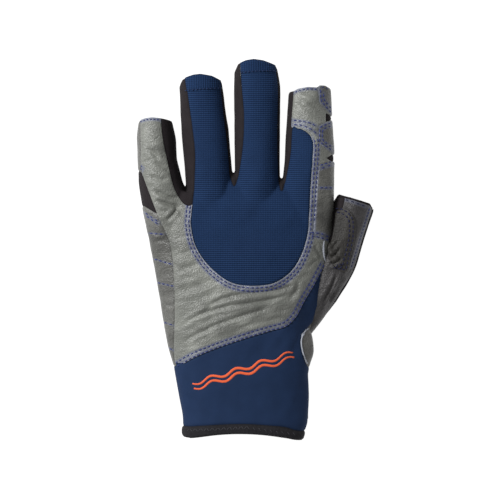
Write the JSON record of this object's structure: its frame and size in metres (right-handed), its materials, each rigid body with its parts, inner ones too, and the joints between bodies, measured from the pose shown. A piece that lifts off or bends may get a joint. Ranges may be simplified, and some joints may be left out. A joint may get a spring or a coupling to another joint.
{
  "type": "sailing glove",
  "caption": "Fingerless left-hand sailing glove: navy knit back, grey leather yoke and palm, black finger sides, stitched thumb and a neoprene wrist cuff with a closure tab.",
  "frame": {"origin": "middle of the bounding box in plan, on the plane that the palm rests on", "axes": "+Y from the wrist to the fingertips, +X towards the thumb, +Z out of the back of the hand"},
  "size_m": [0.1244, 0.1992, 0.0311],
  "materials": {
    "navy_knit": "matt fine ribbed stretch knit, navy",
    "navy_neoprene": "smooth jersey-faced neoprene, navy",
    "grey_leather": "soft pebbled synthetic leather, light grey-green",
    "dark_leather": "soft pebbled synthetic leather, darker warm grey",
    "black_stretch": "matt black stretch cloth",
    "black_binding": "folded black stretch binding",
    "hook_and_loop": "black hook and loop tape"
  },
  "bodies": {
    "hand": {"back_knit_panel": "navy_knit", "back_leather_yoke": "grey_leather", "wrist_back_panel": "navy_neoprene", "outer_side_panel": "dark_leather", "index_side_panel": "dark_leather", "thumb_root_panel": "dark_leather", "palm_panel": "dark_leather", "palm_overlay": "grey_leather", "web_little_ring": "black_stretch", "web_ring_middle": "black_stretch", "web_middle_index": "black_stretch"},
    "little_finger": {"little_back": "grey_leather", "little_palm": "dark_leather", "little_inner_side": "black_stretch", "little_outer_side": "black_stretch"},
    "ring_finger": {"ring_back": "navy_knit", "ring_palm": "dark_leather", "ring_inner_side": "black_stretch", "ring_outer_side": "black_stretch"},
    "middle_finger": {"middle_back": "navy_knit", "middle_palm": "dark_leather", "middle_inner_side": "black_stretch", "middle_outer_side": "black_stretch"},
    "index_finger": {"index_back": "navy_knit", "index_cap": "grey_leather", "index_palm": "dark_leather", "index_inner_side": "dark_leather", "index_outer_side": "black_stretch"},
    "thumb": {"thumb_back": "dark_leather", "thumb_palm": "dark_leather", "thumb_inner_side": "black_stretch", "thumb_patch": "dark_leather", "thumb_piping": "black_binding"},
    "cuff": {"cuff_back": "navy_neoprene", "cuff_palm": "navy_neoprene", "cuff_binding_back": "black_binding", "cuff_binding_palm": "black_binding", "loop_patch": "hook_and_loop"},
    "tab": {"wrist_tab": "navy_neoprene", "hook_patch": "hook_and_loop"}
  },
  "joints": [
    {"name": "little_knuckle", "type": "hinge", "parent": "hand", "child": "little_finger", "pos_m": [-0.04932, 0.02387, 0.009], "axis": [-0.9955, -0.0948, 0], "range_deg": [0, 60]},
    {"name": "ring_knuckle", "type": "hinge", "parent": "hand", "child": "ring_finger", "pos_m": [-0.02442, 0.02887, 0.009], "axis": [-0.9969, -0.0782, 0], "range_deg": [0, 60]},
    {"name": "middle_knuckle", "type": "hinge", "parent": "hand", "child": "middle_finger", "pos_m": [0.00068, 0.03337, 0.009], "axis": [-1, -0.006, 0], "range_deg": [0, 60]},
    {"name": "index_knuckle", "type": "hinge", "parent": "hand", "child": "index_finger", "pos_m": [0.02753, 0.02887, 0.009], "axis": [-0.9999, 0.017, 0], "range_deg": [0, 60]},
    {"name": "thumb_root", "type": "hinge", "parent": "hand", "child": "thumb", "pos_m": [0.02938, -0.04363, 0.013], "axis": [0, 0, -1], "range_deg": [0, 35]},
    {"name": "wrist_fold", "type": "hinge", "parent": "hand", "child": "cuff", "pos_m": [-0.00022, -0.06263, 0.0155], "axis": [1, 0, 0], "range_deg": [-25, 25]},
    {"name": "tab_fold", "type": "hinge", "parent": "cuff", "child": "tab", "pos_m": [0.02918, -0.08313, 0.0032], "axis": [0, -1, 0], "range_deg": [0, 150]}
  ]
}
